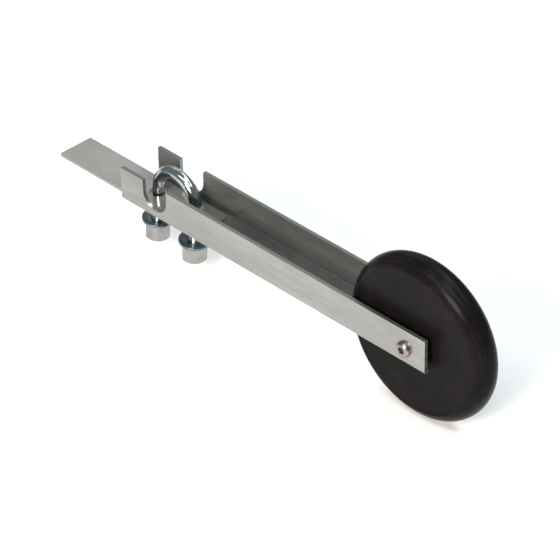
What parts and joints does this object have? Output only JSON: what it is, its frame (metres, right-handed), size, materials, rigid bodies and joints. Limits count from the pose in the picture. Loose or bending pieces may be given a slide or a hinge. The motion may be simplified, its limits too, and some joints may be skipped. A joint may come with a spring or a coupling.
{
  "type": "gate wheel",
  "caption": "Clamp-on gate wheel: U-channel arm with notches and a U-bolt for a round gate tube, a flat tongue bar, and a solid plastic wheel on a bolt axle.",
  "frame": {"origin": "centre of the gate's tube where it lies in the two flange notches, midway between the flanges", "axes": "+X along the channel from the tube towards the wheel, +Y along the gate's tube, +Z out of the channel's open side"},
  "size_m": [0.4189, 0.0536, 0.127],
  "materials": {
    "galvanised_sheet": "galvanised, dull satin",
    "galvanised_bar": "galvanised, dull satin",
    "bright_zinc_rod": "bright zinc plate",
    "blue_zinc_washer": "bluish bright zinc plate",
    "zinc_nut": "satin zinc plate",
    "nylon_ring": "natural nylon",
    "black_wheel_plastic": "turned black plastic, slight sheen",
    "axle_steel": "plain turned steel",
    "stainless_bolt": "satin stainless"
  },
  "bodies": {
    "frame": {"channel": "galvanised_sheet", "tongue_bar": "galvanised_bar", "axle_sleeve": "axle_steel", "thrust_washer_near": "axle_steel", "thrust_washer_far": "axle_steel", "axle_bolt": "stainless_bolt", "axle_washer": "blue_zinc_washer", "axle_nut": "zinc_nut", "axle_ring": "nylon_ring"},
    "wheel": {"wheel": "black_wheel_plastic"},
    "clamp": {"u_bolt": "bright_zinc_rod"},
    "washer_a": {"leg_washer_a": "blue_zinc_washer"},
    "nut_a": {"leg_nut_a": "zinc_nut", "leg_ring_a": "nylon_ring"},
    "washer_b": {"leg_washer_b": "blue_zinc_washer"},
    "nut_b": {"leg_nut_b": "zinc_nut", "leg_ring_b": "nylon_ring"}
  },
  "joints": [
    {"name": "wheel_spin", "type": "hinge", "parent": "frame", "child": "wheel", "pos_m": [0.248, 0, -0.0061], "axis": [0, 1, 0], "continuous": true},
    {"name": "u_bolt_slide", "type": "slide", "parent": "frame", "child": "clamp", "axis": [0.0785, 0, 0.9969], "range_m": [-0.01, 0.0055]},
    {"name": "nut_a_travel", "type": "slide", "parent": "clamp", "child": "washer_a", "axis": [0.0785, 0, 0.9969], "range_m": [0, 0.0102]},
    {"name": "nut_a_turn", "type": "hinge", "parent": "washer_a", "child": "nut_a", "pos_m": [-0.01704, 0, -0.00657], "axis": [0.0785, 0, 0.9969], "range_deg": [0, 2450]},
    {"name": "nut_b_travel", "type": "slide", "parent": "clamp", "child": "washer_b", "axis": [0.0785, 0, 0.9969], "range_m": [0, 0.011]},
    {"name": "nut_b_turn", "type": "hinge", "parent": "washer_b", "child": "nut_b", "pos_m": [0.02184, 0, -0.00963], "axis": [0.0785, 0, 0.9969], "range_deg": [0, 2640]}
  ],
  "couplings": [
    {"joint": "nut_a_turn", "follows": "nut_a_travel", "rad_per_m": 4188.8},
    {"joint": "nut_b_turn", "follows": "nut_b_travel", "rad_per_m": 4188.8}
  ]
}
